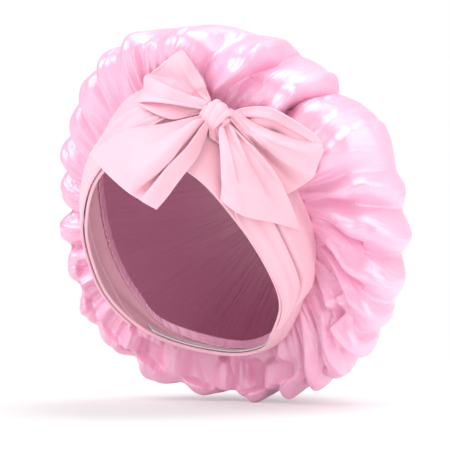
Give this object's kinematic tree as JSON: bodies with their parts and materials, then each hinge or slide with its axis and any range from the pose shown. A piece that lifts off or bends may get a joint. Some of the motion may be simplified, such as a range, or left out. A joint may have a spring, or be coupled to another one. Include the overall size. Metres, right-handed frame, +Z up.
{
  "type": "hair bonnet",
  "caption": "Puffed satin hair bonnet gathered into a wide jersey band, with straps tied in an off-centre bow whose loops and tails lift.",
  "frame": {"origin": "middle of the head that the bonnet is worn on, inside the band", "axes": "+Z up, -Y towards the wearer's face, +X towards the wearer's left"},
  "size_m": [0.2615, 0.2867, 0.2724],
  "materials": {
    "satin": "glossy pink satin weave",
    "jersey": "matte pale pink stretch jersey",
    "elastic": "ribbed white elastic tape"
  },
  "bodies": {
    "bonnet": {"crown": "satin", "seam_allowance": "satin", "band": "jersey", "nape_elastic": "elastic", "strap_left": "jersey", "strap_right": "jersey", "knot_wrap": "jersey", "knot_core": "jersey", "knot_tuck": "jersey"},
    "bow_left_loop": {"left_loop": "jersey"},
    "bow_left_tail": {"left_tail": "jersey"},
    "bow_right_loop": {"right_loop": "jersey"},
    "bow_right_tail": {"right_tail": "jersey"}
  },
  "joints": [
    {"name": "left_loop_lift", "type": "hinge", "parent": "bonnet", "child": "bow_left_loop", "pos_m": [0.04658, -0.06582, 0.06711], "axis": [0.3395, 0.781, 0.5242], "range_deg": [0, 25]},
    {"name": "left_tail_lift", "type": "hinge", "parent": "bonnet", "child": "bow_left_tail", "pos_m": [0.04658, -0.06582, 0.06711], "axis": [-0.6214, 0.0021, 0.7835], "range_deg": [0, 35]},
    {"name": "right_loop_lift", "type": "hinge", "parent": "bonnet", "child": "bow_right_loop", "pos_m": [0.04658, -0.06582, 0.06711], "axis": [0.2718, -0.4312, -0.8603], "range_deg": [0, 25]},
    {"name": "right_tail_lift", "type": "hinge", "parent": "bow_right_loop", "child": "bow_right_tail", "pos_m": [0.04658, -0.06582, 0.06711], "axis": [-0.3658, -0.7979, -0.4791], "range_deg": [0, 30]}
  ]
}
